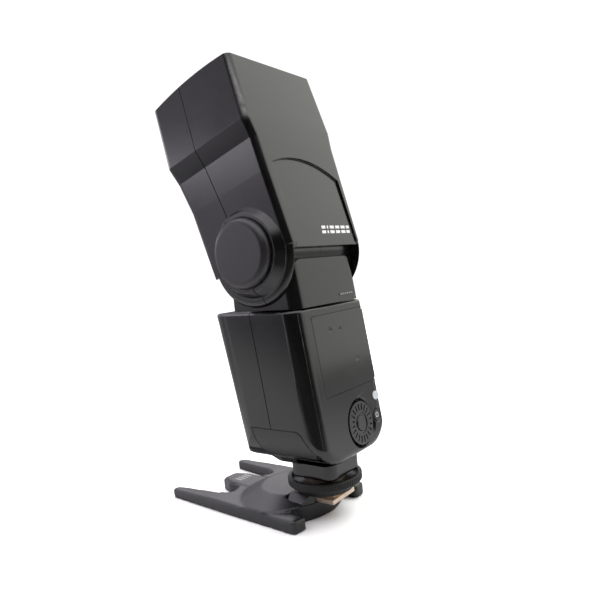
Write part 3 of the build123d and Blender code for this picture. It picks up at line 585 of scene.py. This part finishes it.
def neck_dashes():
    """A short row of plain dashes where the neck carries small lettering."""
    start, height = -8.0, 106.6
    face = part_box("neck_cover")[1].y
    dashes = [oblong(1.9 * i, 0.0, 1.2, 0.8) for i in range(6)]
    mark("neck_dashes", "neck", Vector((start * MM, face, height * MM)), LEFT, UP,
         dashes, DIM_PAINT, 0.03)


def power_icon():
    """A plain power symbol on its button: a broken ring and a stroke."""
    origin = on_face(panel_point(-20.9, 45.2), "power_button", PANEL_OUT)
    symbol = arc_blocks(1.25, 0.95, 120, 420, 20) + [oblong(-0.15, 0.35, 0.3, 1.0)]
    mark("power_icon", "power_key", origin, LEFT, PANEL_UP, symbol, PAINT, 0.04)


def tongue_bars():
    """Four plain bars where the stand's tongue carries lettering."""
    top = 7.0
    bars = [oblong(-4.2 + 2.2 * i, -63.6, 1.4, 5.6) for i in range(4)]
    mark("tongue_bars", "stand", Vector((0, 0, top * MM)), STAND_TURN @ Vector((1, 0, 0)),
         STAND_TURN @ Vector((0, 1, 0)), bars, DIM_PAINT, 0.04)


def display_gap_shade():
    """A thin dark line around the display film: painted shadow of the gap at the film's edge."""
    # the strips are painted shadow: matt black pieces where the gap around the film is in shade
    shade_width = 0.28
    low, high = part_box("display_window")
    middle = (low + high) / 2 / MM
    half = (high.x - low.x) / 2 / MM
    rise = (high.z - low.z) / 2 / MM / math.cos(LEAN)
    border = [oblong(-half, rise, 2 * half, shade_width), oblong(-half, -rise - shade_width, 2 * half, shade_width),
              oblong(-half - shade_width, -rise, shade_width, 2 * rise), oblong(half, -rise, shade_width, 2 * rise)]
    mark("display_gap_shade", "housing", panel_point(middle.x, middle.z), LEFT, PANEL_UP,
         border, FINISHES["bearing_plastic"], 0.012)


head_dashes()
neck_dashes()
power_icon()
tongue_bars()
display_gap_shade()


# ------------------------------------------------------------------ floor, world and lights
FLOOR_RADIUS, FLOOR_GAP = 2.0, 0.0002


def floor_disc():
    """A wide pale floor. Glossy rays see it darker behind the flash and darkest towards the camera."""
    mesh = bmesh.new()
    bmesh.ops.create_circle(mesh, cap_ends=True, segments=96, radius=FLOOR_RADIUS)
    data = mesh_data("floor", mesh)
    floor = linked("floor", data)
    floor.location = (0, 0, CAD_BOX[0].z - FLOOR_GAP)
    made, g, where = material("floor_white")
    cloud = g.noise(where, 9.0, 3.0, 0.5)
    base = g.mix(g.spread(cloud, 0.3, 0.7), grey(0.90), grey(0.93, (1.0, 1.0, 0.995)))
    mirrored = g.add("ShaderNodeLightPath").outputs["Is Glossy Ray"]
    nearer = g.along(where, TO_CAMERA)
    shade = g.math("MULTIPLY", g.spread(nearer, -0.15, -0.02, 0.16, 0.42),
                   g.spread(nearer, 0.08, 0.22, 1.0, 0.07))
    base = g.mix(mirrored, base, shade)
    g.surface(**{"Base Color": base, "Roughness": g.spread(cloud, 0.3, 0.7, 0.5, 0.6),
                 "Specular IOR Level": 0.3})
    data.materials.append(made)


def softbox_top():
    """A large soft light above, which shows in no reflection."""
    data = bpy.data.lights.new("softbox_top", "AREA")
    data.shape = "RECTANGLE"
    data.size, data.size_y = 1.4, 1.4
    data.energy = 16.0
    light = linked("softbox_top", data)
    light.location = (-0.2, 0.1, 0.9)
    light.rotation_mode = "QUATERNION"
    light.rotation_quaternion = (-Vector(light.location)).to_track_quat("-Z", "Y")
    light.visible_camera = False
    light.visible_glossy = False


def wall_band(g, sideways, height):
    """Brighter and dimmer bands by height, which fade in towards the left wall."""
    floorline = g.spread(height, -0.16, 0.03, 1.0, 0.45, smooth=True)
    window = g.math("SUBTRACT", g.spread(height, 0.09, 0.17, 0.0, 1.3, smooth=True),
                    g.spread(height, 0.19, 0.31, 0.0, 1.5, smooth=True))
    ceiling = g.spread(height, 0.5, 0.7, 0.0, 0.6, smooth=True)
    band = g.math("ADD", g.math("ADD", floorline, window), ceiling)
    left = g.spread(sideways, -0.1, -0.6)
    return g.math("ADD", g.math("MULTIPLY", left, g.math("SUBTRACT", band, 1.0)), 1.0)


def world_light():
    """A pale room with the dark side that the camera stands in, and a dimmer wall far behind the flash."""
    world = bpy.data.worlds.new("studio")
    world.use_nodes = True
    bpy.context.scene.world = world
    g = Graph(world.node_tree)
    way = g.add("ShaderNodeTexCoord").outputs["Generated"]
    towards = g.along(way, TO_CAMERA)
    sideways = g.along(way, RIGHTWARDS)
    height = g.add("ShaderNodeSeparateXYZ", way).outputs[2]
    walls = g.math("MULTIPLY", g.spread(sideways, -0.8, 0.8, 2.6, 1.75), wall_band(g, sideways, height))
    walls = g.math("MULTIPLY", walls, g.spread(height, 0.08, 0.42, 0.62, 0.85, smooth=True))
    dark = g.spread(towards, 0.16, 0.5, 0.0, 1.0, smooth=True)
    dark = g.math("MULTIPLY", dark, g.spread(height, 0.5, 0.8, 1.0, 0.0, smooth=True))
    far = g.spread(towards, -0.5, -0.85, 0.0, 1.0, smooth=True)
    far = g.math("MULTIPLY", far, g.spread(height, 0.12, 0.4, 1.0, 0.0, smooth=True))
    level = g.mix(dark, walls, (0.012, 0.012, 0.012, 1.0))
    level = g.mix(far, level, (0.14, 0.14, 0.14, 1.0))
    tint = g.mix(g.spread(sideways, -0.5, 0.5), (1.0, 0.94, 1.05, 1.0), (1.0, 1.0, 0.95, 1.0))
    level = g.mix(1.0, level, tint, blend="MULTIPLY")
    seen = g.add("ShaderNodeLightPath").outputs["Is Camera Ray"]
    backdrop = g.mix(seen, level, (1.1, 1.1, 1.1, 1.0))
    shader = g.add("ShaderNodeBackground", backdrop, 1.0)
    g.add("ShaderNodeOutputWorld", shader.outputs[0])


floor_disc()
world_light()
softbox_top()
bpy.context.scene.view_settings.view_transform = "Standard"
